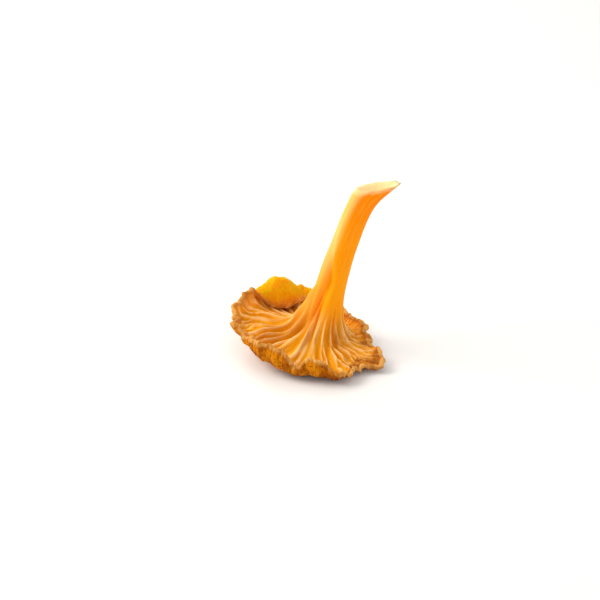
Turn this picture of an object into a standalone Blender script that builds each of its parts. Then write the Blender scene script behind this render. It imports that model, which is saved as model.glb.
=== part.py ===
# A picked winter chanterelle, resting upside down on the crown of its cap.
#
# It grew as one piece: the stem, the ridges, the cap and the hollow in its crown are the same
# flesh, so it is one solid. The blank is a sphere whose rings run from the torn end of the stem
# down the outside of the stem, out over the ridged underside, round the margin, back below the
# cap and up into the hollow of the crown.
#
# Lengths are in millimetres and angles in degrees until the last step, which goes to metres.
# +X is right, +Y is away from the viewer and +Z is up. Angle 0 is +X and angle 90 is +Y.

import functools
import math

import bmesh
import bpy
from mathutils import Vector, noise

MM = 0.001

# Moves the model so that its origin is on the ground below the middle of its outline.
SHIFT = (0.385, 0.05)

# Rings of the blank in each zone, and points around each ring.
ZONES = (
    ("end", 5),
    ("stem", 14),
    ("flare", 15),
    ("sheet", 13),
    ("edge", 3),
    ("outside", 10),
    ("crown", 6),
    ("rest", 1),
    ("hollow", 6),
)
AROUND = 288
KEPT_TRIANGLES = 11400

# The stem: height, centre x, centre y, half width in x, half depth in y. It hooks right at the end.
STEM = (
    (0.0, 0.2, 0.0, 7.2, 6.8),
    (10.0, 2.0, 1.0, 5.9, 5.6),
    (17.0, 3.5, 1.7, 5.1, 4.8),
    (22.7, 4.95, 2.0, 4.7, 4.4),
    (31.0, 7.25, 2.3, 4.4, 4.1),
    (37.0, 9.25, 2.4, 4.25, 3.9),
    (43.0, 11.25, 2.4, 4.2, 3.8),
    (48.0, 13.35, 2.4, 4.35, 3.6),
    (51.0, 15.15, 2.4, 4.9, 3.4),
    (53.0, 16.75, 2.4, 5.5, 3.3),
    (55.0, 18.5, 2.4, 6.0, 3.3),
    (57.0, 20.4, 2.4, 6.4, 3.3),
)
STEM_END = 54.7
END_SLANT = 1.1
END_DISH = 2.2
END_RAGGED = 0.5
FLARE_TOP = 24.0

# A groove winds down the stem and parts its foot into two strands: height, the groove's angle, and
# its depth as a share of the radius.
GROOVE = (
    (14.0, -134.0, 0.20),
    (19.0, -119.0, 0.36),
    (22.5, -109.0, 0.44),
    (26.5, -113.0, 0.42),
    (33.0, -148.0, 0.26),
    (38.5, -167.0, 0.10),
    (43.0, -180.0, 0.0),
)
GROOVE_WIDTH = 20.0

# A second, shallow one opens towards the torn end, on the near side.
END_GROOVE = (
    (43.0, -90.0, 0.0),
    (48.0, -93.0, 0.10),
    (52.0, -100.0, 0.20),
    (57.0, -110.0, 0.28),
)
END_GROOVE_WIDTH = 36.0

# Strands and valleys of the flare: angle where they leave the stem, angle where they reach the cap,
# height and width.
STRANDS = (
    (200, 160, 1.5, 13),
    (236, 209, -1.5, 11),
    (250, 230, 0.8, 8),
    (270, 261, 1.5, 15),
    (318, 306, -0.8, 12),
)

# The strongest strand carries almost no ridges: its angles as above, and its width.
BARE_STRAND = (270, 261, 12)

# Round the cap: angle, then radius and height of the middle of the flesh where the underside is
# lowest, and its slope there.
TROUGH = (
    (0, 11.6, 2.5, -3),
    (45, 11.8, 3.2, 0),
    (85, 13.0, 4.4, 0),
    (120, 14.2, 4.4, -5),
    (150, 15.0, 6.0, 6),
    (180, 15.2, 6.4, 10),
    (210, 14.4, 4.6, 0),
    (235, 13.8, 2.8, -6),
    (270, 13.2, 2.3, -6),
    (315, 12.4, 2.2, -5),
)

# The margin: angle, radius, height, the way its edge points (0 is outward, 90 up, 180 inward), and
# how far the bend is filled out, where 1 is nearest to round.
MARGIN = (
    (0, 16.4, 4.2, 45, 1.0),
    (11, 15.8, 4.0, 50, 1.0),
    (24, 16.9, 5.2, 55, 1.0),
    (38, 16.2, 5.6, 62, 1.0),
    (52, 15.8, 6.4, 70, 1.0),
    (66, 17.0, 8.0, 80, 1.0),
    (82, 18.6, 9.6, 95, 1.1),
    (88, 18.9, 10.0, 130, 1.2),
    (92.5, 18.0, 8.8, 215, 1.25),
    (97, 18.1, 8.6, 226, 1.22),
    (101, 18.0, 8.8, 232, 1.34),
    (106, 17.4, 8.7, 246, 1.22),
    (113, 16.9, 8.3, 262, 1.58),
    (120, 16.4, 7.9, 268, 2.02),
    (127, 16.6, 8.4, 268, 2.08),
    (133, 17.2, 8.8, 264, 1.88),
    (139, 18.9, 9.6, 240, 1.60),
    (142.5, 21.0, 12.0, 180, 1.30),
    (146, 23.0, 14.1, 110, 1.15),
    (150, 23.8, 14.7, 92, 1.1),
    (155.5, 24.0, 14.2, 82, 1.1),
    (161, 25.2, 12.0, 68, 1.1),
    (167, 26.5, 11.4, 65, 1.1),
    (176, 24.7, 9.8, 80, 1.2),
    (186, 23.4, 9.8, 96, 1.3),
    (194, 22.5, 7.4, 88, 1.25),
    (202, 22.1, 9.2, 98, 1.35),
    (218, 21.5, 9.3, 102, 1.38),
    (230, 20.7, 9.6, 106, 1.4),
    (243, 20.2, 8.8, 108, 1.4),
    (252, 20.4, 4.8, 90, 1.4),
    (263, 20.0, 7.8, 108, 1.42),
    (276, 20.8, 6.9, 104, 1.5),
    (287, 22.4, 3.8, 70, 1.3),
    (296, 23.0, 2.8, 30, 1.0),
    (305, 20.8, 2.4, 20, 1.0),
    (314, 20.2, 2.4, 20, 1.0),
    (325, 23.7, 2.6, 15, 1.0),
    (336, 22.2, 3.2, 30, 1.0),
    (342, 20.8, 3.5, 34, 1.0),
    (350, 17.0, 4.0, 40, 1.0),
)

# How high up the stem the flare begins to spread and how flat it runs out over the cap, as shares
# of its width.
FLARE_RISE = 0.70
FLARE_SPREAD = 0.75

# Thickness of the flesh at the trough and at the margin.
FLESH = 3.0
MARGIN_FLESH = 1.1

# Ridges fork twice on their way from the stem to the margin. Heights are on the stem's flare, past
# the first fork and at the margin.
RIDGES = 18
RIDGE_HEIGHTS = (1.5, 1.35, 0.65)
RIDGE_WANDER = 9.0
FORKS = ((0.34, 0.10), (0.64, 0.10))
FORK_LENGTH = 0.16

# Crimps in the margin: waves around, height, and how far in from the edge they reach.
CRIMPS = ((11, 0.55, 2.2), (29, 0.48, 3.2), (53, 0.26, 5.0))
MARGIN_RAGGED = 0.7

# The crown stands on a flat ring round the mouth of the hollow.
REST = (1.2, 0.2)
REST_OUTER = 10.0
REST_INNER = 7.6
MOUTH_RADIUS = 5.4
MOUTH_HEIGHT = 2.0
HOLLOW_TOP = 18.0


def smooth(value):
    """0 below 0, 1 above 1 and an even ramp between them."""
    value = min(max(value, 0.0), 1.0)
    return value * value * (3 - 2 * value)


def mix(first, second, share):
    return first + (second - first) * share


def through(rows, at):
    """The values of a smooth curve through the rows, whose first column is the position."""
    index = 1
    while index < len(rows) - 3 and rows[index + 1][0] < at:
        index += 1
    before, low, high, after = rows[index - 1 : index + 3]
    span = high[0] - low[0]
    t = (at - low[0]) / span
    found = []
    for a, b, c, d in zip(before[1:], low[1:], high[1:], after[1:]):
        leave = (c - a) / (high[0] - before[0]) * span
        arrive = (d - b) / (after[0] - low[0]) * span
        found.append(
            b
            + leave * t
            + (3 * (c - b) - 2 * leave - arrive) * t * t
            + (2 * (b - c) + leave + arrive) * t**3
        )
    return found


def open_rows(rows):
    """Rows with one more at each end, so that the curve reaches the first and the last."""
    first = [2 * a - b for a, b in zip(rows[0], rows[1])]
    last = [2 * a - b for a, b in zip(rows[-1], rows[-2])]
    return [first, *rows, last]


def ring_rows(rows):
    """Rows repeated past a full turn at both ends."""
    before = [(row[0] - 360, *row[1:]) for row in rows[-2:]]
    after = [(row[0] + 360, *row[1:]) for row in rows[:2]]
    return [*before, *rows, *after]


STEM_ROWS = open_rows(STEM)
GROOVE_ROWS = open_rows(GROOVE)
END_GROOVE_ROWS = open_rows(END_GROOVE)
TROUGH_ROWS = ring_rows(TROUGH)
MARGIN_ROWS = ring_rows(MARGIN)


def bezier(points, t):
    """Place and direction on a cubic Bezier curve."""
    a, b, c, d = points
    s = 1 - t
    place = a * s**3 + b * (3 * s * s * t) + c * (3 * s * t * t) + d * t**3
    along = (b - a) * (s * s) + (c - b) * (2 * s * t) + (d - c) * (t * t)
    return place, along.normalized()


def outward(angle):
    return Vector((math.cos(math.radians(angle)), math.sin(math.radians(angle)), 0))


def in_section(angle, radius, height):
    """A point or a direction of the upright section plane at this angle."""
    return outward(angle) * radius + Vector((0, 0, height))


def wobble(angle, way, size, seed):
    """Even noise from -1 to 1 that closes round the mushroom."""
    around = outward(angle) * size
    return noise.noise(Vector((around.x, around.y, way + seed * 7.3)))


def away_from(angle, middle):
    """How far one angle is from another, from -180 to 180."""
    return (angle - middle + 180) % 360 - 180


def groove(angle, height):
    """How deep the grooves of the stem are here, as a share of the radius."""
    if height < END_GROOVE[0][0]:
        rows, width = GROOVE_ROWS, GROOVE_WIDTH
    else:
        rows, width = END_GROOVE_ROWS, END_GROOVE_WIDTH
    middle, depth = through(rows, height)
    return max(0.0, depth) * math.exp(-((away_from(angle, middle) / width) ** 2))


def strand(angle, share):
    """How far the strands of the flare rise here, from its top, 0, to its foot, 1."""
    rise = 0.0
    for start, end, height, width in STRANDS:
        away = away_from(angle, mix(start, end, share))
        rise += height * math.exp(-((away / width) ** 2))
    return rise * smooth(share / 0.3) * smooth((1 - share) / 0.45)


def stem_centre(height):
    x, y = through(STEM_ROWS, height)[:2]
    return Vector((x, y, height))


def stem_point(angle, height):
    x, y, half_width, half_depth = through(STEM_ROWS, height)
    share = 1 - groove(angle, height) + 0.05 * wobble(angle, height / 14, 1.3, 1)
    way = outward(angle)
    return Vector((x + half_width * share * way.x, y + half_depth * share * way.y, height))


def end_height(angle):
    """The torn end is a little higher on the right, and ragged except at that corner."""
    ragged = END_RAGGED * (1 - 0.85 * math.exp(-((away_from(angle, 0) / 40) ** 2)))
    return STEM_END + END_SLANT * outward(angle).x + ragged * wobble(angle, 0, 2.6, 2)


def flesh(way_out):
    """Thickness of the cap from the trough, 0, to the margin, 1."""
    return mix(MARGIN_FLESH, FLESH, (1 - way_out) ** 1.6)


@functools.lru_cache(maxsize=None)
def rolled(angle):
    """1 where the margin curls in on itself, 0 where it is open."""
    return smooth((through(MARGIN_ROWS, angle % 360)[2] - 110) / 90)


@functools.lru_cache(maxsize=None)
def sheet_curve(angle):
    """The middle of the flesh, from the trough to the margin, as a Bezier curve."""
    radius, height, curl, fullness = through(MARGIN_ROWS, angle % 360)
    radius += MARGIN_RAGGED * (1 - rolled(angle)) * wobble(angle, 0, 6.5, 3)
    trough_radius, trough_height, slope = through(TROUGH_ROWS, angle % 360)
    start = in_section(angle, trough_radius, trough_height)
    end = in_section(angle, radius, height)
    handle = fullness * (end - start).length / (3 * math.cos(math.radians(curl - slope) / 4) ** 2)
    leave = in_section(angle, math.cos(math.radians(slope)), math.sin(math.radians(slope)))
    arrive = in_section(angle, math.cos(math.radians(curl)), math.sin(math.radians(curl)))
    return start, start + leave * handle, end - arrive * handle, end


def crimp(angle, way_out):
    """How far the crimped margin is pushed across the sheet."""
    push = 0.0
    for waves, height, reach in CRIMPS:
        drift = 40 * wobble(angle, 0, 1.7, waves)
        size = height * (0.45 + 1.1 * abs(wobble(angle, 0, 2.2, waves + 1)))
        push += size * way_out**reach * math.sin(math.radians(waves * angle + 3 * drift))
    return push * mix(1.0 + 0.7 * abs(outward(angle).x), 0.2, rolled(angle))


def sheet_point(angle, way_out, side):
    """A point of the cap: way_out is 0 at the trough and 1 at the margin, side 1 above, -1 below."""
    place, along = bezier(sheet_curve(angle), way_out)
    around = Vector((-outward(angle).y, outward(angle).x, 0))
    across = along.cross(around)
    place = place + across * (side * flesh(way_out) / 2 + crimp(angle, way_out))
    return place, along, across


def ridge(angle, way):
    """Height of the ridges, 0 in a groove and 1 on a crest. way is 0 on the stem, 1 at the margin."""
    bend = RIDGE_WANDER * wobble(angle, way * 1.6, 1.5, 4) + 4.5 * wobble(angle, way * 4, 5.0, 5)
    phase = math.radians(RIDGES * (angle + bend))
    height = math.cos(phase)
    for times, (start, spread) in zip((2, 4), FORKS):
        fork = smooth((way - start - spread * 2 * wobble(angle, 0, 4.0, times)) / FORK_LENGTH)
        height = mix(height, -math.cos(times * phase), fork)
    return (0.5 + 0.5 * height) ** 1.15


def ridge_height(angle, way):
    """The ridges rise below the stem and are low at the margin, most of all where it rolls in."""
    stem, cap, margin = RIDGE_HEIGHTS
    cap *= 1 - 0.4 * rolled(angle)
    margin *= 1 - 0.8 * rolled(angle)
    height = mix(mix(stem, cap, smooth((way - 0.3) / 0.3)), margin, smooth((way - 0.55) / 0.3))
    uneven = 0.8 + 0.8 * wobble(angle, way * 2, 4.2, 8)
    uneven *= 1 - 0.8 * smooth((way - 0.45) / 0.2) * math.exp(-((away_from(angle, 30) / 32) ** 2))
    bare = math.exp(-((away_from(angle, mix(*BARE_STRAND[:2], 2 * way)) / BARE_STRAND[2]) ** 2))
    uneven *= 1 - 0.8 * bare * smooth((0.9 - way) / 0.3)
    return height * smooth((way - 0.04) / 0.30) * uneven


def flare_curve(angle):
    """From the stem down and out to the trough, on the ridged side."""
    top = stem_point(angle, FLARE_TOP)
    down = (stem_point(angle, FLARE_TOP - 2) - top).normalized()
    foot, along, _ = sheet_point(angle, 0.0, 1)
    width = (top - foot).xy.length
    grip = top.z - foot.z - FLARE_RISE * width
    return top, top + down * grip, foot - along * FLARE_SPREAD * width, foot


def crown_curve(angle):
    """From below the trough in to the flat ring that the mushroom stands on."""
    start, along, _ = sheet_point(angle, 0.0, -1)
    end = Vector((*REST, 0)) + outward(angle) * REST_OUTER
    reach = (start - end).length * 0.45
    return start, start - along * reach, end + outward(angle) * reach, end


def hollow_point(angle, share):
    """The wall of the hollow, from the flat ring up to its closed top inside the stem."""
    height = HOLLOW_TOP * share**1.5
    radius = mix(REST_INNER, MOUTH_RADIUS, smooth(height / MOUTH_HEIGHT))
    radius *= math.sqrt(max(0.0, 1 - (height / HOLLOW_TOP) ** 1.3))
    centre = Vector((*REST, 0)).lerp(stem_centre(height), smooth(height / 9))
    return Vector((centre.x, centre.y, height)) + outward(angle) * radius


def surface_point(zone, share, angle):
    if zone == "end":
        edge = stem_point(angle, end_height(angle))
        middle = stem_centre(STEM_END - END_DISH)
        place = middle.lerp(edge, share)
        place.z = mix(middle.z, edge.z, min(1.0, share / 0.82) ** 3)
        return place
    if zone == "stem":
        return stem_point(angle, mix(end_height(angle), FLARE_TOP, share))
    if zone == "flare":
        place, along = bezier(flare_curve(angle), share)
        around = Vector((-outward(angle).y, outward(angle).x, 0))
        across = along.cross(around).normalized()
        way = 0.5 * share
        return place + across * (ridge(angle, way) * ridge_height(angle, way) + strand(angle, share))
    if zone == "sheet":
        place, _, across = sheet_point(angle, share, 1)
        way = 0.5 + 0.5 * share
        return place + across * ridge(angle, way) * ridge_height(angle, way)
    if zone == "edge":
        place, along, across = sheet_point(angle, 1.0, 1)
        lift = ridge(angle, 1.0) * ridge_height(angle, 1.0)
        half = (MARGIN_FLESH + lift) / 2
        turn = math.pi * share
        return place + across * (lift - half + half * math.cos(turn)) + along * half * math.sin(turn)
    if zone == "outside":
        return sheet_point(angle, 1 - share, -1)[0]
    if zone == "crown":
        return bezier(crown_curve(angle), share)[0]
    if zone == "rest":
        return Vector((*REST, 0)) + outward(angle) * mix(REST_OUTER, REST_INNER, share)
    return hollow_point(angle, share)


def stations():
    """Zone and share of every ring of the blank, from pole to pole."""
    found = [("end", 0.0)]
    for zone, rings in ZONES:
        found += [(zone, (ring + 1) / rings) for ring in range(rings)]
    return found


def make_mushroom(collection):
    rings = stations()
    mesh = bpy.data.meshes.new("winter_chanterelle")
    bm = bmesh.new()
    bmesh.ops.create_uvsphere(bm, u_segments=AROUND, v_segments=len(rings) - 1, radius=1.0)
    for vertex in bm.verts:
        x, y, z = vertex.co
        ring = round(math.acos(min(max(z, -1.0), 1.0)) / math.pi * (len(rings) - 1))
        angle = round(math.degrees(math.atan2(y, x)) * AROUND / 360) * 360 / AROUND
        zone, share = rings[ring]
        place = surface_point(zone, share, angle)
        if zone in ("outside", "crown", "edge"):
            place.z = max(place.z, 0.0)
        vertex.co = (place + Vector((*SHIFT, 0))) * MM
    bm.to_mesh(mesh)
    bm.free()
    mesh.shade_smooth()
    mushroom = bpy.data.objects.new("winter_chanterelle", mesh)
    collection.objects.link(mushroom)
    lighten = mushroom.modifiers.new("Lighten", "DECIMATE")
    lighten.ratio = KEPT_TRIANGLES / (2 * AROUND * (len(rings) - 2))
    return mushroom


def make_material():
    flesh_material = bpy.data.materials.new("mushroom_flesh")
    flesh_material.use_nodes = True
    shader = flesh_material.node_tree.nodes["Principled BSDF"]
    shader.inputs["Base Color"].default_value = (0.86, 0.36, 0.03, 1)
    shader.inputs["Roughness"].default_value = 0.55
    shader.inputs["Metallic"].default_value = 0.0
    return flesh_material


def main():
    for old in list(bpy.data.objects):
        bpy.data.objects.remove(old)
    collection = bpy.data.collections.new("Winter chanterelle")
    bpy.context.scene.collection.children.link(collection)
    mushroom = make_mushroom(collection)
    mushroom.data.materials.append(make_material())


main()
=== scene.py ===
import functools
import math

import bmesh
import bpy
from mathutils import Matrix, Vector, noise


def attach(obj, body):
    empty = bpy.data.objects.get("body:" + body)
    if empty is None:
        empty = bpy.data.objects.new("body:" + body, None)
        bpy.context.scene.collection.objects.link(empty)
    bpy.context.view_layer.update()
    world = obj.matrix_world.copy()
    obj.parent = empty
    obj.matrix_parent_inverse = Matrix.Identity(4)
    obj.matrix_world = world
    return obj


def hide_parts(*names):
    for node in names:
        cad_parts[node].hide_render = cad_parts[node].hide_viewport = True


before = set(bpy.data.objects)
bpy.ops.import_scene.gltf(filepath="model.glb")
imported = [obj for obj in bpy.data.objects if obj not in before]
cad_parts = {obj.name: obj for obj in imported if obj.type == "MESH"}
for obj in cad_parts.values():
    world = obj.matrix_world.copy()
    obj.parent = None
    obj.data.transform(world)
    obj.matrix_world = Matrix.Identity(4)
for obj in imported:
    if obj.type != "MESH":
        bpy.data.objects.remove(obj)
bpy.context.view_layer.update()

# A picked winter chanterelle, upside down on the crown of its cap.
# Shapes are worked out in millimetres, angles in degrees: 0 is +X, 90 is +Y, away from the camera.


# Small mathematics

def smooth(value):
    value = min(max(value, 0.0), 1.0)
    return value * value * (3 - 2 * value)


def mix(first, second, share):
    return first + (second - first) * share


def throughRows(rows, at):  # smooth curve through rows whose first column is the position
    index = 1
    while index < len(rows) - 3 and rows[index + 1][0] < at:
        index += 1
    before, low, high, after = rows[index - 1 : index + 3]
    span = high[0] - low[0]
    t = (at - low[0]) / span
    found = []
    for a, b, c, d in zip(before[1:], low[1:], high[1:], after[1:]):
        leave = (c - a) / (high[0] - before[0]) * span
        arrive = (d - b) / (after[0] - low[0]) * span
        bend = 3 * (c - b) - 2 * leave - arrive
        turn = 2 * (b - c) + leave + arrive
        found.append(b + leave * t + bend * t * t + turn * t**3)
    return found


def openRows(rows):  # rows that carry straight on at both ends
    first = [2 * a - b for a, b in zip(rows[0], rows[1])]
    last = [2 * a - b for a, b in zip(rows[-1], rows[-2])]
    return [first, *rows, last]


def ringRows(rows):  # rows that close round the mushroom
    before = [(row[0] - 360, *row[1:]) for row in rows[-2:]]
    after = [(row[0] + 360, *row[1:]) for row in rows[:2]]
    return [*before, *rows, *after]


def bezierPoint(points, t):  # gives the place and the direction
    a, b, c, d = points
    s = 1 - t
    place = a * s**3 + b * (3 * s * s * t) + c * (3 * s * t * t) + d * t**3
    along = (b - a) * (s * s) + (c - b) * (2 * s * t) + (d - c) * (t * t)
    return place, along.normalized()


@functools.lru_cache(maxsize=None)
def outward(angle):
    return Vector((math.cos(math.radians(angle)), math.sin(math.radians(angle)), 0))


def inSection(angle, radius, height):
    return outward(angle) * radius + Vector((0, 0, height))


def wobble(angle, way, size, seed):  # even noise from -1 to 1 that closes round the mushroom
    around = outward(angle) * size
    return noise.noise(Vector((around.x, around.y, way + seed * 7.3)))


def awayFrom(angle, middle):  # from -180 to 180
    return (angle - middle + 180) % 360 - 180


def hump(angle, middle, width):  # 1 at one angle, and 0 away from it
    return math.exp(-((awayFrom(angle, middle) / width) ** 2))


def creases(angle, way, size, seed):  # 1 on thin wandering lines, 0 between them
    return (1 - min(1.0, abs(wobble(angle, way, size, seed)) * 3.2)) ** 2


# The stem

stem = {
    # height, centre x, centre y, half width, half depth
    "rows": (
        (0.0, 0.2, 0.0, 7.2, 6.8),
        (10.0, 2.0, 1.0, 5.9, 5.6),
        (17.0, 3.5, 1.7, 5.1, 4.8),
        (22.7, 4.95, 2.0, 4.7, 4.4),
        (31.0, 7.25, 2.3, 4.4, 4.1),
        (37.0, 9.25, 2.4, 4.25, 3.9),
        (43.0, 11.25, 2.4, 4.2, 3.8),
        (48.0, 13.35, 2.4, 4.35, 3.6),
        (51.0, 15.15, 2.4, 4.9, 3.4),
        (53.0, 16.75, 2.4, 5.5, 3.3),
        (55.0, 18.5, 2.4, 6.0, 3.3),
        (57.0, 20.4, 2.4, 6.4, 3.3),
    ),
    "top": 54.7,  # middle of the torn end
    "slant": 1.1,  # its right corner is this much higher
    "dish": 2.2,  # depth of its hollow
    "uneven": 0.05,  # share of the radius
    "ragged": 0.5,  # tears of its lip
    "calmCorner": (0, 40, 0.85),  # angle, width, and how much less ragged the torn end is there
    "lip": 0.82,  # share of the torn end that the dish takes
    "flareTop": 24.0,  # the stem begins to spread here
    # height, the winding groove's angle, and its depth as a share of the radius
    "groove": (
        (14.0, -134.0, 0.20),
        (19.0, -119.0, 0.36),
        (22.5, -109.0, 0.44),
        (26.5, -113.0, 0.42),
        (33.0, -148.0, 0.26),
        (38.5, -167.0, 0.10),
        (43.0, -180.0, 0.0),
    ),
    "grooveWidth": 20.0,
    # the same of the shallow groove that takes over below the torn end
    "endGroove": (
        (43.0, -90.0, 0.0),
        (48.0, -93.0, 0.10),
        (52.0, -100.0, 0.20),
        (57.0, -110.0, 0.28),
    ),
    "endGrooveWidth": 36.0,
    "fibre": 0.05,  # height of the long fibres
}
stemRows = openRows(stem["rows"])
grooveRows = openRows(stem["groove"])
endGrooveRows = openRows(stem["endGroove"])


def grooveDepth(angle, height):
    if height < stem["endGroove"][0][0]:
        rows, width = grooveRows, stem["grooveWidth"]
    else:
        rows, width = endGrooveRows, stem["endGrooveWidth"]
    middle, depth = throughRows(rows, height)
    return max(0.0, depth) * hump(angle, middle, width)


def stemCentre(height):
    x, y = throughRows(stemRows, height)[:2]
    return Vector((x, y, height))


def stemPoint(angle, height):
    x, y, halfWidth, halfDepth = throughRows(stemRows, height)
    share = 1 - grooveDepth(angle, height) + stem["uneven"] * wobble(angle, height / 14, 1.3, 1)
    way = outward(angle)
    return Vector((x + halfWidth * share * way.x, y + halfDepth * share * way.y, height))


@functools.lru_cache(maxsize=None)
def stemEnd(angle):
    corner, width, calm = stem["calmCorner"]
    ragged = stem["ragged"] * (1 - calm * hump(angle, corner, width))
    return stem["top"] + stem["slant"] * outward(angle).x + ragged * wobble(angle, 0, 2.6, 2)


def paleTear(angle):  # the torn flesh is pale except on the near lip
    way = outward(angle)
    return max(1 - smooth(-way.y / 0.5), smooth((way.x - 0.7) / 0.2))


def stemFibre(angle, wide, fine):  # wide and fine are the places along the two kinds of fibre
    return stem["fibre"] * (wobble(angle, wide, 9.0, 22) + 0.6 * wobble(angle, fine, 21.0, 23))


# The cap

cap = {
    # angle, then radius, height and slope where the underside is lowest
    "trough": (
        (0, 11.6, 2.5, -3),
        (45, 11.8, 3.2, 0),
        (85, 13.0, 4.4, 0),
        (120, 14.2, 4.4, -5),
        (150, 15.0, 6.0, 6),
        (180, 15.2, 6.4, 10),
        (210, 14.4, 4.6, 0),
        (235, 13.8, 2.8, -6),
        (270, 13.2, 2.3, -6),
        (315, 12.4, 2.2, -5),
    ),
    # angle, then radius, height and direction of the edge, and how full the bend is
    "margin": (
        (0, 16.4, 4.2, 45, 1.0),
        (11, 15.8, 4.0, 50, 1.0),
        (24, 16.9, 5.2, 55, 1.0),
        (38, 16.2, 5.6, 62, 1.0),
        (52, 15.8, 6.4, 70, 1.0),
        (66, 17.0, 8.0, 80, 1.0),
        (82, 18.6, 9.6, 95, 1.1),
        (88, 18.9, 10.0, 130, 1.2),
        (92.5, 18.0, 8.8, 215, 1.25),
        (97, 18.1, 8.6, 226, 1.22),
        (101, 18.0, 8.8, 232, 1.34),
        (106, 17.4, 8.7, 246, 1.22),
        (113, 16.9, 8.3, 262, 1.58),
        (120, 16.4, 7.9, 268, 2.02),
        (127, 16.6, 8.4, 268, 2.08),
        (133, 17.2, 8.8, 264, 1.88),
        (139, 18.9, 9.6, 240, 1.60),
        (142.5, 21.0, 12.0, 180, 1.30),
        (146, 23.0, 14.1, 110, 1.15),
        (150, 23.8, 14.7, 92, 1.1),
        (155.5, 24.0, 14.2, 82, 1.1),
        (161, 25.2, 12.0, 68, 1.1),
        (167, 26.5, 11.4, 65, 1.1),
        (176, 24.7, 9.8, 80, 1.2),
        (186, 23.4, 9.8, 96, 1.3),
        (194, 22.5, 7.4, 88, 1.25),
        (202, 22.1, 9.2, 98, 1.35),
        (218, 21.5, 9.3, 102, 1.38),
        (230, 20.7, 9.6, 106, 1.4),
        (243, 20.2, 8.8, 108, 1.4),
        (252, 20.4, 4.8, 90, 1.4),
        (263, 20.0, 7.8, 108, 1.42),
        (276, 20.8, 6.9, 104, 1.5),
        (287, 22.4, 3.8, 70, 1.3),
        (296, 23.0, 2.8, 30, 1.0),
        (305, 20.8, 2.4, 20, 1.0),
        (314, 20.2, 2.4, 20, 1.0),
        (325, 23.7, 2.6, 15, 1.0),
        (336, 22.2, 3.2, 30, 1.0),
        (342, 20.8, 3.5, 34, 1.0),
        (350, 17.0, 4.0, 40, 1.0),
    ),
    "flesh": 3.0,  # thickness at the trough
    "marginFlesh": 1.1,  # thickness at the margin
    "flareRise": 0.70,  # how steeply and how gently the stem runs out, as shares of its spread
    "flareSpread": 0.75,
    # waves round the margin, height, and how close to the edge they stay
    "crimps": ((11, 0.55, 2.2), (29, 0.48, 3.2), (53, 0.26, 5.0), (97, 0.26, 7.0)),
    "crimpSides": 0.7,  # more crimped at the left and right
    "crimpRolled": 0.2,  # share of the crimps on the rolled lobe
    "ragged": 0.7,  # how far the margin goes in and out
    "frill": 0.55,  # finer tears of the very edge
    "wrinkle": 0.26,  # height of the wrinkles on the outside
    # the dry brown band inside the margin, then angle, width and what is added there
    "bandWidth": 0.30,
    "bandUneven": (0.30, 0.14),
    "bandWider": ((325, 35, 0.18), (235, 40, -0.12)),
    "bandStrength": 0.65,
    "bandStronger": ((325, 30, 0.3), (35, 35, -0.3), (235, 40, -0.3), (180, 30, -0.25)),
    "goldBack": (33, 24, 0.5),  # angle, width and strength of the golden patch at the back right
}
troughRows = ringRows(cap["trough"])
marginRows = ringRows(cap["margin"])


def fleshThickness(wayOut):
    return mix(cap["marginFlesh"], cap["flesh"], (1 - wayOut) ** 1.6)


@functools.lru_cache(maxsize=None)
def rolledIn(angle):  # 1 where the margin curls inward
    return smooth((throughRows(marginRows, angle % 360)[2] - 110) / 90)


@functools.lru_cache(maxsize=None)
def sheetCurve(angle):  # middle of the flesh, from the trough to the margin
    radius, height, curl, fullness = throughRows(marginRows, angle % 360)
    radius += cap["ragged"] * (1 - rolledIn(angle)) * wobble(angle, 0, 6.5, 3)
    troughRadius, troughHeight, slope = throughRows(troughRows, angle % 360)
    start = inSection(angle, troughRadius, troughHeight)
    end = inSection(angle, radius, height)
    handle = fullness * (end - start).length / (3 * math.cos(math.radians(curl - slope) / 4) ** 2)
    leave = inSection(angle, math.cos(math.radians(slope)), math.sin(math.radians(slope)))
    arrive = inSection(angle, math.cos(math.radians(curl)), math.sin(math.radians(curl)))
    end = end + arrive * cap["frill"] * (wobble(angle, 0, 17, 11) + 0.7 * wobble(angle, 0, 41, 12))
    return start, start + leave * handle, end - arrive * handle, end


@functools.lru_cache(maxsize=None)
def crimpWaves(angle):
    waves = []
    for count, height, reach in cap["crimps"]:
        drift = 40 * wobble(angle, 0, 1.7, count)
        size = height * (0.45 + 1.1 * abs(wobble(angle, 0, 2.2, count + 1)))
        waves.append((size * math.sin(math.radians(count * angle + 3 * drift)), reach))
    return waves


def rimBand(angle, wayOut):  # 1 on the dry brown band inside the margin
    slow, quick = cap["bandUneven"]
    width = cap["bandWidth"] + slow * wobble(angle, 0, 5.0, 17) + quick * wobble(angle, 0, 19.0, 18)
    for middle, reach, more in cap["bandWider"]:
        width += more * hump(angle, middle, reach)
    strength = cap["bandStrength"]
    for middle, reach, more in cap["bandStronger"]:
        strength += more * hump(angle, middle, reach)
    return strength * smooth((wayOut - 1 + width) / 0.22) * (1 - rolledIn(angle))


def crimpPush(angle, wayOut):
    push = sum(push * wayOut**reach for push, reach in crimpWaves(angle))
    rolled = rolledIn(angle)
    push *= mix(1.0 + cap["crimpSides"] * abs(outward(angle).x), cap["crimpRolled"], rolled)
    return push * (1 - 0.7 * rolled * smooth((0.97 - wayOut) / 0.1))  # the bend itself stays smooth


def sheetPoint(angle, wayOut, side):  # side is 1 above, where the ridges are, and -1 below
    place, along = bezierPoint(sheetCurve(angle), wayOut)
    around = Vector((-outward(angle).y, outward(angle).x, 0))
    across = along.cross(around)
    place = place + across * (side * fleshThickness(wayOut) / 2 + crimpPush(angle, wayOut))
    return place, along, across


# The ridges, which fork on their way from the stem to the margin

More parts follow.
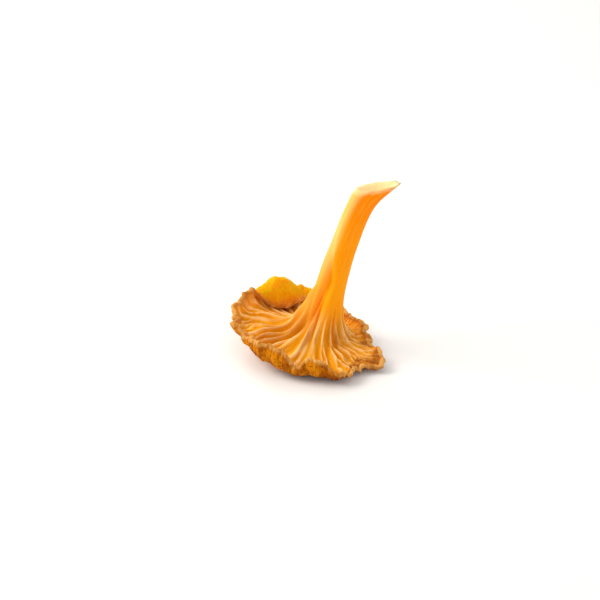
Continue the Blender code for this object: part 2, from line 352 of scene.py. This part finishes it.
ridges = {
    "count": 18,
    "heights": (1.5, 1.35, 0.65),  # below the stem, past the first fork, at the margin
    "wander": (9.0, 4.5, 1.3),  # degrees of the slow bend, of a quicker one and of the finest
    "forks": ((0.34, 0.10), (0.64, 0.10)),  # where on the way to the margin, and how scattered
    "forkLength": 0.16,
    "sharpness": 1.15,
    "uneven": 0.8,
    "rolledLower": (0.4, 0.8),  # how much lower on the rolled lobe, past the fork and at the margin
    "flatBack": (30, 32, 0.8),  # angle, width, and how much lower the ridges are at the back right
    # angle where a strand leaves the stem, angle where it reaches the cap, height and width
    "strands": (
        (200, 160, 1.5, 13),
        (236, 209, -1.5, 11),
        (250, 230, 0.8, 8),
        (270, 261, 1.5, 15),
        (318, 306, -0.8, 12),
    ),
    "bareStrand": (270, 261, 12),  # the strongest strand carries almost no ridges
    "bare": 0.8,
    "fineCount": 126,  # pleats between the ridges near the margin
    "fineHeight": 0.16,
    "fineWander": 260,
    "veins": 0.14,  # cross veins between the ridges
}


def ridgeCrest(angle, way):  # 0 in a groove, 1 on a crest; way is 0 on the stem and 1 at the margin
    slow, quick, finest = ridges["wander"]
    bend = slow * wobble(angle, way * 1.6, 1.5, 4) + quick * wobble(angle, way * 4, 5.0, 5)
    bend += finest * way * wobble(angle, way * 14, 15.0, 6)
    phase = math.radians(ridges["count"] * (angle + bend))
    height = math.cos(phase)
    for times, (start, spread) in zip((2, 4), ridges["forks"]):
        scatter = spread * 2 * wobble(angle, 0, 4.0, times)
        fork = smooth((way - start - scatter) / ridges["forkLength"])
        height = mix(height, -math.cos(times * phase), fork)
    return (0.5 + 0.5 * height) ** ridges["sharpness"]


def ridgeHeight(angle, way):
    below, onCap, atMargin = ridges["heights"]
    onCapLower, atMarginLower = ridges["rolledLower"]
    onCap *= 1 - onCapLower * rolledIn(angle)
    atMargin *= 1 - atMarginLower * rolledIn(angle)
    height = mix(mix(below, onCap, smooth((way - 0.3) / 0.3)), atMargin, smooth((way - 0.55) / 0.3))
    uneven = 0.8 + ridges["uneven"] * wobble(angle, way * 2, 4.2, 8)
    middle, width, flat = ridges["flatBack"]
    uneven *= 1 - flat * smooth((way - 0.45) / 0.2) * hump(angle, middle, width)
    start, end, width = ridges["bareStrand"]
    bare = ridges["bare"] * hump(angle, mix(start, end, 2 * way), width)
    uneven *= 1 - bare * smooth((0.9 - way) / 0.3)
    return height * smooth((way - 0.04) / 0.30) * uneven


def strandRise(angle, share):  # from the flare's top, 0, to its foot, 1
    rise = 0.0
    for start, end, height, width in ridges["strands"]:
        rise += height * hump(angle, mix(start, end, share), width)
    return rise * smooth(share / 0.3) * smooth((1 - share) / 0.45)


def fineRelief(angle, way):  # pleats and cross veins, too small for the solid
    phase = ridges["fineCount"] * angle + ridges["fineWander"] * wobble(angle, way * 3, 3.0, 14)
    pleat = 0.5 + 0.5 * math.cos(math.radians(phase))
    pleat *= ridges["fineHeight"] * smooth((way - 0.42) / 0.3)
    vein = ridges["veins"] * creases(angle, way * 26, 9.0, 15) * smooth((way - 0.3) / 0.3)
    return pleat + vein


@functools.lru_cache(maxsize=None)
def flareCurve(angle):  # from the stem down and out to the trough
    top = stemPoint(angle, stem["flareTop"])
    down = (stemPoint(angle, stem["flareTop"] - 2) - top).normalized()
    foot, along, _ = sheetPoint(angle, 0.0, 1)
    width = (top - foot).xy.length
    grip = top.z - foot.z - cap["flareRise"] * width
    return top, top + down * grip, foot - along * cap["flareSpread"] * width, foot


# The crown and its hollow

crown = {
    "centre": (1.2, 0.2),
    "restOuter": 10.0,
    "restInner": 7.6,
    "mouthRadius": 5.4,
    "mouthHeight": 2.0,
    "hollowTop": 18.0,
    "straightTo": 9.0,  # above this height the hollow follows the stem's middle
}


@functools.lru_cache(maxsize=None)
def crownCurve(angle):
    start, along, _ = sheetPoint(angle, 0.0, -1)
    end = Vector((*crown["centre"], 0)) + outward(angle) * crown["restOuter"]
    reach = (start - end).length * 0.45
    return start, start - along * reach, end + outward(angle) * reach, end


def hollowPoint(angle, share):
    height = crown["hollowTop"] * share**1.5
    radius = mix(crown["restInner"], crown["mouthRadius"], smooth(height / crown["mouthHeight"]))
    radius *= math.sqrt(max(0.0, 1 - (height / crown["hollowTop"]) ** 1.3))
    lean = smooth(height / crown["straightTo"])
    centre = Vector((*crown["centre"], 0)).lerp(stemCentre(height), lean)
    return Vector((centre.x, centre.y, height)) + outward(angle) * radius


# The whole body: a sphere whose rings run from the torn end of the stem, down and out over the
# ridges, round the margin, back below the cap and up into the hollow

mushroom = {
    "around": 768,  # points in each ring
    "zones": (  # rings in each part of the way
        ("end", 6),
        ("stem", 18),
        ("flare", 22),
        ("sheet", 34),
        ("edge", 4),
        ("outside", 32),
        ("crown", 5),
        ("rest", 1),
        ("hollow", 6),
    ),
    "shift": (0.385, 0.05),  # puts the origin below the middle of the outline
    "grainPerMm": 0.02,
    # what the material reads at each point; the ear is the rolled lobe
    "marks": ("crest", "outside", "edge", "tip", "ear", "rim"),
}


def bodyPoint(zone, share, angle):  # gives the place, the way down the stem and out, and the marks
    if zone == "end":
        edge = stemPoint(angle, stemEnd(angle))
        middle = stemCentre(stem["top"] - stem["dish"])
        place = middle.lerp(edge, share)
        place.z = mix(middle.z, edge.z, min(1.0, share / stem["lip"]) ** 3)
        tip = smooth((share - 0.1) / 0.5) * mix(0.6, 1.0, paleTear(angle))
        return place, 0.0, {"crest": 0.3, "tip": tip}
    if zone == "stem":
        top = stemEnd(angle)
        height = mix(top, stem["flareTop"], share)
        place = stemPoint(angle, height)
        fibre = stemFibre(angle, height / 11, height / 6)
        place = place + outward(angle) * fibre
        paleReach = 0.9 + 1.2 * max(0.0, outward(angle).x)
        tip = smooth(1 - (top - height) / paleReach) * paleTear(angle)
        return place, stem["flareTop"] - height, {"crest": 0.5 + 4 * fibre, "tip": tip}
    if zone == "flare":
        place, along = bezierPoint(flareCurve(angle), share)
        around = Vector((-outward(angle).y, outward(angle).x, 0))
        across = along.cross(around).normalized()
        way = 0.5 * share
        crest = ridgeCrest(angle, way)
        strength = ridgeHeight(angle, way)
        strand = strandRise(angle, share)
        fibre = (1 - share) * stemFibre(angle, 2 + share * 2, 4 + share * 4)
        lift = crest * strength + strand + fineRelief(angle, way) + fibre
        shown = mix(0.5, crest, min(1.0, strength)) + 0.2 * strand
        return place + across * lift, 20 * share, {"crest": shown}
    if zone == "sheet":
        place, _, across = sheetPoint(angle, share, 1)
        way = 0.5 + 0.5 * share
        crest = ridgeCrest(angle, way)
        lift = crest * ridgeHeight(angle, way) + fineRelief(angle, way)
        middle, width, glow = cap["goldBack"]
        glow *= hump(angle, middle, width) * smooth(share / 0.3) * smooth((1 - share) / 0.3)
        edge = smooth((share - 0.93) / 0.07)
        marks = {"crest": crest, "edge": edge, "rim": rimBand(angle, share), "ear": glow}
        return place + across * lift, 20 + 10 * share, marks
    if zone == "edge":
        place, along, across = sheetPoint(angle, 1.0, 1)
        crest = ridgeCrest(angle, 1.0)
        lift = crest * ridgeHeight(angle, 1.0) + fineRelief(angle, 1.0)
        half = (cap["marginFlesh"] + lift) / 2
        turn = math.pi * share
        place = place + across * (lift - half + half * math.cos(turn))
        place = place + along * half * math.sin(turn)
        marks = {"crest": crest, "outside": share, "edge": 1.0, "ear": rolledIn(angle), "rim": 0.8}
        return place, 30.0, marks
    if zone == "outside":
        place, _, across = sheetPoint(angle, 1 - share, -1)
        ear = rolledIn(angle) * (1 - smooth((share - 0.40) / 0.3))
        wrinkle = 0.9 * creases(angle, share * 2, 26.0, 31)
        wrinkle += 0.3 * creases(angle, share * 8, 12.0, 32)
        place = place + across * cap["wrinkle"] * wrinkle * min(1.0, share * 6) * (1 - 0.8 * ear)
        place.z = max(place.z, 0.0)
        edge = smooth((0.05 - share) / 0.05)
        return place, 30 - 10 * share, {"crest": wrinkle, "outside": 1.0, "edge": edge, "ear": ear}
    if zone == "crown":
        place = bezierPoint(crownCurve(angle), share)[0]
        place.z = max(place.z, 0.0)
        return place, 20 - 6 * share, {"crest": 0.4, "outside": 1.0}
    if zone == "rest":
        radius = mix(crown["restOuter"], crown["restInner"], share)
        place = Vector((*crown["centre"], 0)) + outward(angle) * radius
        return place, 13.0, {"crest": 0.4, "outside": 1.0}
    return hollowPoint(angle, share), 12 - 10 * share, {"crest": 0.2, "outside": 1.0}


def makeMushroom(material):
    around = mushroom["around"]
    stations = [("end", 0.0)]
    for zone, rings in mushroom["zones"]:
        stations += [(zone, (ring + 1) / rings) for ring in range(rings)]
    bm = bmesh.new()
    bmesh.ops.create_uvsphere(bm, u_segments=around, v_segments=len(stations) - 1, radius=1.0)
    layers = {name: bm.verts.layers.float.new(name) for name in mushroom["marks"]}
    grain = bm.verts.layers.float_vector.new("grain")
    shift = Vector((*mushroom["shift"], 0))
    for vertex in bm.verts:
        x, y, z = vertex.co
        ring = round(math.acos(min(max(z, -1.0), 1.0)) / math.pi * (len(stations) - 1))
        angle = round(math.degrees(math.atan2(y, x)) * around / 360) * 360 / around
        zone, share = stations[ring]
        place, way, marks = bodyPoint(zone, share, angle)
        vertex.co = (place + shift) * 0.001
        for name, value in marks.items():
            vertex[layers[name]] = value
        side = outward(angle)
        vertex[grain] = (side.x, side.y, way * mushroom["grainPerMm"])
    mesh = bpy.data.meshes.new("mushroomBody")
    bm.to_mesh(mesh)
    bm.free()
    mesh.shade_smooth()
    mesh.materials.append(material)
    body = bpy.data.objects.new("mushroomBody", mesh)
    bpy.context.scene.collection.objects.link(body)
    return body


# Materials

def linearColour(code):
    channels = [int(code[i : i + 2], 16) / 255 for i in (1, 3, 5)]
    return [c / 12.92 if c <= 0.04045 else ((c + 0.055) / 1.055) ** 2.4 for c in channels] + [1.0]


def addNode(tree, kind, settings=None, links=None):  # a name in digits is a socket's number
    node = tree.nodes.new(kind)
    for name, value in (settings or {}).items():
        if isinstance(value, str) and value.startswith("#"):
            value = linearColour(value)
        if name.isdigit():
            node.inputs[int(name)].default_value = value
        elif name in node.inputs:
            node.inputs[name].default_value = value
        else:
            setattr(node, name, value)
    for name, source in (links or {}).items():
        tree.links.new(source, node.inputs[int(name) if name.isdigit() else name])
    return node


fleshLook = {
    # what the shader takes all over
    "shader": {
        "Roughness": 0.55,
        "IOR": 1.35,  # near that of water
        "Specular IOR Level": 0.06,
        "Subsurface Radius": (1.0, 0.6, 0.1),
        "Subsurface Scale": 0.0018,
    },
    "glow": (0.12, 0.9),  # subsurface weight, of the thick flesh and of the thin rolled lobe
    "tears": "#ffe2a6",
    # noise, what it follows, scale and detail; a scale on place is per metre, and grain is 1 round
    # the body and 0.02 a millimetre along it, so that its noise draws out into fibres
    "noises": (
        ("fibres", "grain", 5.0, 3.0),  # 0.9 mm wide on the stem
        ("streaks", "grain", 24.0, 5.0),  # 0.8 mm wide at the margin
        ("broad", "grain", 4.0, 2.0),  # 5 mm wide at the margin
        ("patches", "place", 260.0, 3.0),  # 4 mm
        ("specks", "place", 1400.0, 4.0),  # 0.7 mm
        ("grit", "place", 2600.0, 2.0),  # 0.4 mm
    ),
    # share, what it reads, from, to and at most
    "shares": (
        ("paleFibre", "fibres", 0.40, 0.80, 0.7),
        # painted highlight: the stem paler on its left side, towards the key lamp
        ("paintedLeftHighlight", "side", -0.35, -0.95, 0.85),
        ("darkFibre", "fibres", 0.52, 0.36, 0.45),
        ("highStem", "height", 0.036, 0.052, 0.75),
        ("lowStem", "height", 0.036, 0.022, 0.7),
        ("onCap", "height", 0.018, 0.007, 1.0),
        # paler crests: partly their own colour, partly a painted highlight along them
        ("paleCrestAndHighlight", "crest", 0.40, 1.0, 1.0),
        ("paleStreak", "streaks", 0.5, 0.8, 0.5),
        ("darkStreak", "streaks", 0.5, 0.3, 0.4),
        ("broadShade", "broad", 0.52, 0.38, 0.55),
        # painted shade with a dusty tone: the ridges duller on the right side, away from the key
        # lamp
        ("dustAndPaintedRightShade", "side", 0.2, 1.0, 0.25),
        ("patch", "patches", 0.4, 0.65, 1.0),
        ("wrinkle", "crest", 0.25, 1.1, 0.7),
        ("fleck", "specks", 0.54, 0.68, 0.85),
        ("rimPatch", "patches", 0.62, 0.40, 1.0),
        # painted shade: the rolled lobe darker towards its foot
        ("paintedEarShade", "height", 0.0135, 0.009, 0.7),
        ("earPatch", "patches", 0.45, 0.62, 0.7),
        ("low", "height", 0.004, 0.0, 1.0),
        ("slightlyRough", "height", 0.018, 0.007, 0.35),
    ),
    # part, its ground colour, then the colours laid over it by their shares
    "parts": (
        ("stem", "#ff9404", (
            ("#ffa60c", "paleFibre"),
            ("#ff8000", "highStem"),
            # painted highlight down the stem's left side
            ("#ffcc74", "paintedLeftHighlight"),
            ("#ffa830", "darkFibre"),
            ("#ffa20a", "lowStem"),
        )),
        ("ridges", "#ea9c08", (
            # paler crest colour with a painted highlight on the crests
            ("#fccc84", "paleCrestAndHighlight"),
            ("#f8be60", "paleStreak"),
            ("#c67408", "darkStreak"),
            ("#c06c06", "broadShade"),
            # painted shade and a dusty beige tone on the right side
            ("#d8963c", "dustAndPaintedRightShade"),
        )),
        ("rim", "#d08024", (("#944c0e", "rimPatch"), ("#783c0a", "fleck"))),
        ("outside", "#dc8408", (
            ("#a85604", "patch"),
            ("#8a460a", "wrinkle"),
            ("#5c2e06", "fleck"),
        )),
        # the rolled lobe's lower part is darkened by painted shade
        ("ear", "#ffb80c", (("#ffa008", "paintedEarShade"), ("#f4980a", "earPatch"))),
        ("edge", "#e2a656", (("#c07c30", "patch"),)),
        ("crown", "#7a3510", ()),
    ),
    # which part is laid over the stem by which mark or share, in this order
    "laidOver": (
        ("ridges", "onCap"),
        ("rim", "rim"),
        ("outside", "outside"),
        ("ear", "ear"),
        ("edge", "edge"),
        ("crown", "lowOutside"),
    ),
    "streakRelief": 0.35,  # strength of the streaks' relief on the cap
    # relief too fine for the mesh: what it reads, its strength, and its height in metres
    "bumps": (
        ("fibres", 0.15, 0.0002),
        ("streaks", "streaky", 0.0003),
        ("grit", 0.2, 0.0001),
        ("specks", "rough", 0.0004),
    ),
}


def makeFlesh():
    # Fresh fungus flesh: moist, slightly translucent, fibrous along the stem, dull on the outside.
    material = bpy.data.materials.new("freshFungusFlesh")
    material.use_nodes = True
    tree = material.node_tree
    shader = tree.nodes["Principled BSDF"]

    reads = {"place": addNode(tree, "ShaderNodeTexCoord").outputs["Object"]}
    placeParts = addNode(tree, "ShaderNodeSeparateXYZ", links={"Vector": reads["place"]})
    reads["height"] = placeParts.outputs["Z"]
    for name in mushroom["marks"]:
        reads[name] = addNode(tree, "ShaderNodeAttribute", {"attribute_name": name}).outputs["Fac"]
    grain = addNode(tree, "ShaderNodeAttribute", {"attribute_name": "grain"})
    reads["grain"] = grain.outputs["Vector"]
    grainParts = addNode(tree, "ShaderNodeSeparateXYZ", links={"Vector": reads["grain"]})
    reads["side"] = grainParts.outputs["X"]
    for name, follows, scale, detail in fleshLook["noises"]:
        settings = {"Scale": scale, "Detail": detail, "Roughness": 0.6}
        noiseNode = addNode(tree, "ShaderNodeTexNoise", settings, {"Vector": reads[follows]})
        reads[name] = noiseNode.outputs["Fac"]
    for name, source, low, high, most in fleshLook["shares"]:
        settings = {"interpolation_type": "SMOOTHSTEP"}
        settings.update({"From Min": low, "From Max": high, "To Max": most})
        share = addNode(tree, "ShaderNodeMapRange", settings, {"Value": reads[source]})
        reads[name] = share.outputs["Result"]
    for name, operation, first, second in (
        ("lowOutside", "MULTIPLY", "low", "outside"),
        ("rough", "MAXIMUM", "outside", "slightlyRough"),
    ):
        links = {"0": reads[first], "1": reads[second]}
        reads[name] = addNode(tree, "ShaderNodeMath", {"operation": operation}, links).outputs[0]
    settings = {"operation": "MULTIPLY", "1": fleshLook["streakRelief"]}
    reads["streaky"] = addNode(tree, "ShaderNodeMath", settings, {"0": reads["onCap"]}).outputs[0]

    colours = {}
    for part, ground, layers in fleshLook["parts"]:
        colours[part] = addNode(tree, "ShaderNodeRGB").outputs[0]
        colours[part].default_value = linearColour(ground)
        for over, share in layers:
            settings = {"data_type": "RGBA", "7": over}
            links = {"0": reads[share], "6": colours[part]}
            colours[part] = addNode(tree, "ShaderNodeMix", settings, links).outputs[2]

    skin = colours["stem"]
    for part, share in fleshLook["laidOver"]:
        links = {"0": reads[share], "6": skin, "7": colours[part]}
        skin = addNode(tree, "ShaderNodeMix", {"data_type": "RGBA"}, links).outputs[2]
    settings = {"data_type": "RGBA", "7": fleshLook["tears"]}
    skin = addNode(tree, "ShaderNodeMix", settings, {"0": reads["tip"], "6": skin}).outputs[2]
    tree.links.new(skin, shader.inputs["Base Color"])

    for name, value in fleshLook["shader"].items():
        shader.inputs[name].default_value = value
    least, most = fleshLook["glow"]
    settings = {"To Min": least, "To Max": most}
    glow = addNode(tree, "ShaderNodeMapRange", settings, {"Value": reads["ear"]})
    tree.links.new(glow.outputs["Result"], shader.inputs["Subsurface Weight"])

    normal = {}
    for height, strength, distance in fleshLook["bumps"]:
        settings = {"Distance": distance}
        links = {"Height": reads[height], **normal}
        if strength in reads:
            links["Strength"] = reads[strength]
        else:
            settings["Strength"] = strength
        normal = {"Normal": addNode(tree, "ShaderNodeBump", settings, links).outputs[0]}
    tree.links.new(normal["Normal"], shader.inputs["Normal"])
    return material


body = makeMushroom(makeFlesh())
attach(body, "root")
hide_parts("winter_chanterelle")
print("mushroom made,", len(body.data.polygons), "faces")


# Floor, light and camera

studio = {
    "floor": "#f4f3f0",
    "floorReach": 3.0,
    "floorGap": 0.0001,  # the floor lies this far below the mushroom
    "sky": "#ffffff",
    "skyStrength": 0.76,
    "elevation": 28.0,
    "pixelsPerMm": 3.2,
    "middle": (-13.77, 50.08),  # photograph's middle from the origin, in pixels across and up
    "pictureSize": 600,  # pixels
    "lens": 100.0,
    "nearest": 0.01,  # what is nearer to the camera isn't drawn
    # name, place and size in metres, watts and colour
    "lamps": (
        ("keyLeft", (-0.40, 0.02, 0.36), 0.30, 1.8, "#fffaf2"),
        ("fillRight", (0.42, -0.30, 0.22), 0.35, 0.32, "#ffffff"),
        ("backLeft", (-0.20, 0.45, 0.35), 0.30, 0.9, "#ffffff"),
    ),
    "lampsAimAt": (0, 0, 0.02),
}


def makeFloor():
    bm = bmesh.new()
    bmesh.ops.create_grid(bm, x_segments=1, y_segments=1, size=studio["floorReach"])
    bmesh.ops.translate(bm, vec=(0, 0, -studio["floorGap"]), verts=bm.verts)
    mesh = bpy.data.meshes.new("studioFloor")
    bm.to_mesh(mesh)
    bm.free()
    # Uncoated white paper: quite dull, so it shows soft shadows and no reflections.
    material = bpy.data.materials.new("whitePaper")
    material.use_nodes = True
    shader = material.node_tree.nodes["Principled BSDF"]
    shader.inputs["Base Color"].default_value = linearColour(studio["floor"])
    shader.inputs["Roughness"].default_value = 0.9
    mesh.materials.append(material)
    floor = bpy.data.objects.new("studioFloor", mesh)
    bpy.context.scene.collection.objects.link(floor)


def makeLamp(name, place, size, energy, colour):
    lamp = bpy.data.lights.new(name, "AREA")
    lamp.energy = energy
    lamp.size = size
    lamp.color = linearColour(colour)[:3]
    holder = bpy.data.objects.new(name, lamp)
    bpy.context.scene.collection.objects.link(holder)
    holder.location = place
    holder.rotation_mode = "QUATERNION"
    aim = Vector(studio["lampsAimAt"]) - Vector(place)
    holder.rotation_quaternion = aim.to_track_quat("-Z", "Y")


def makeCamera():
    tilt = math.radians(studio["elevation"])
    up = Vector((0, math.sin(tilt), math.cos(tilt)))
    back = Vector((0, -math.cos(tilt), math.sin(tilt)))
    across, above = studio["middle"]
    scale = 0.001 / studio["pixelsPerMm"]
    target = Vector((across * scale, 0, 0)) + up * (above * scale)
    camera = bpy.data.cameras.new("camera")
    camera.lens = studio["lens"]
    camera.clip_start = studio["nearest"]
    holder = bpy.data.objects.new("camera", camera)
    bpy.context.scene.collection.objects.link(holder)
    distance = studio["pictureSize"] * scale * studio["lens"] / camera.sensor_width
    holder.location = target + back * distance
    holder.rotation_mode = "QUATERNION"
    holder.rotation_quaternion = (-back).to_track_quat("-Z", "Y")
    bpy.context.scene.camera = holder


def makeSky():
    sky = bpy.data.worlds.new("studio")
    sky.use_nodes = True
    background = sky.node_tree.nodes["Background"]
    background.inputs["Color"].default_value = linearColour(studio["sky"])
    background.inputs["Strength"].default_value = studio["skyStrength"]
    bpy.context.scene.world = sky


makeFloor()
for lamp in studio["lamps"]:
    makeLamp(*lamp)
makeSky()
makeCamera()
bpy.context.scene.view_settings.view_transform = "Standard"
print("studio made")
